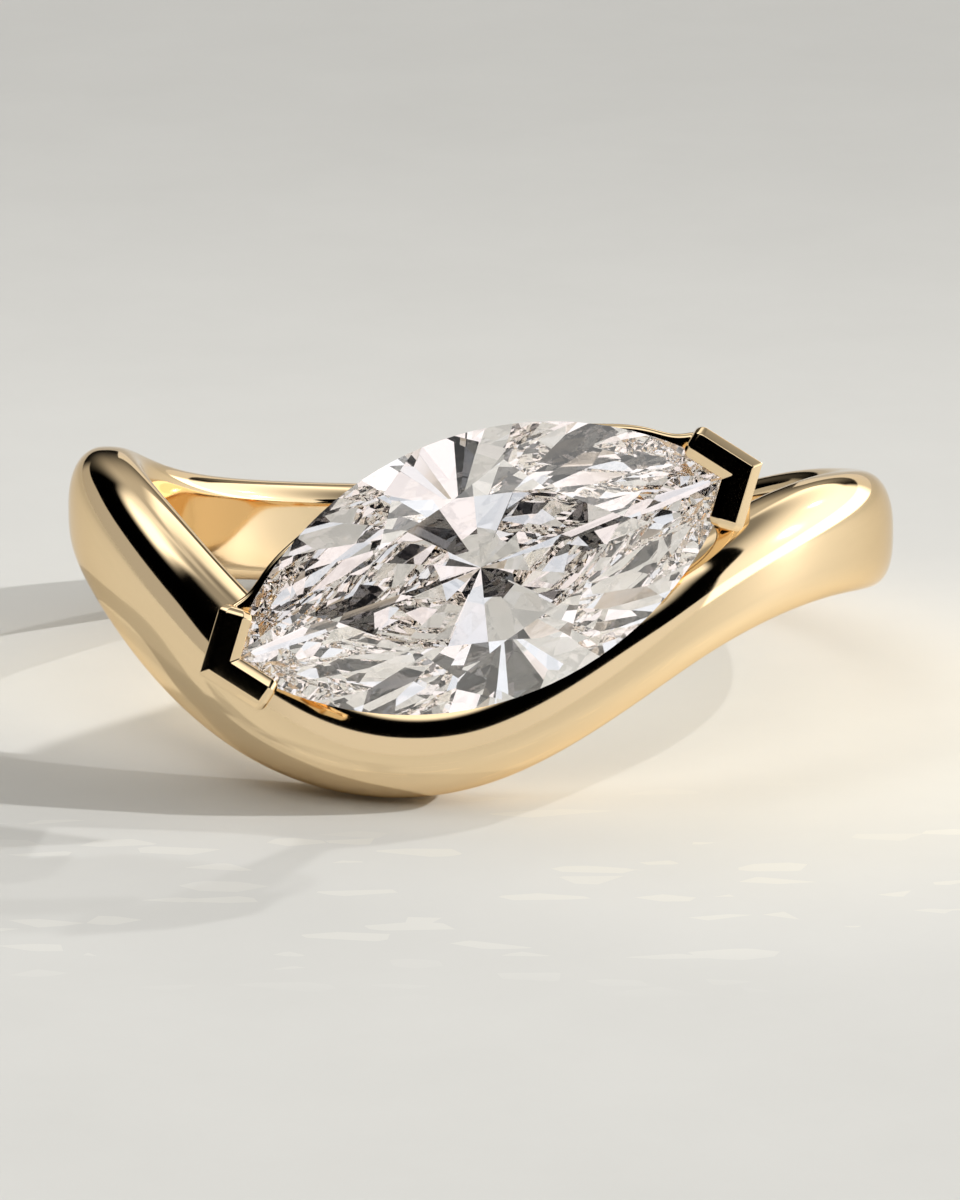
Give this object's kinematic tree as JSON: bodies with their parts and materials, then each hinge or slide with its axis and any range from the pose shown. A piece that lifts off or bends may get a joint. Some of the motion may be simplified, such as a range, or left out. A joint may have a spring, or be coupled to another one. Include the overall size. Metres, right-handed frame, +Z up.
{
  "type": "solitaire engagement ring",
  "caption": "Solitaire finger ring: a slim waved band with a faceted marquise stone held at its points by V-shaped prongs, and a thin rail behind the stone. Lies on its side.",
  "frame": {"origin": "on the surface the ring lies on, under the middle of its box", "axes": "+Z up from that surface; -Y towards the stone's face; +X to the right seen from the front, towards the stone's higher end"},
  "size_m": [0.02, 0.0226, 0.0094],
  "materials": {
    "gold": "polished",
    "diamond": "polished"
  },
  "bodies": {
    "root": {"band_and_prongs": "gold", "stone": "diamond"}
  },
  "joints": []
}
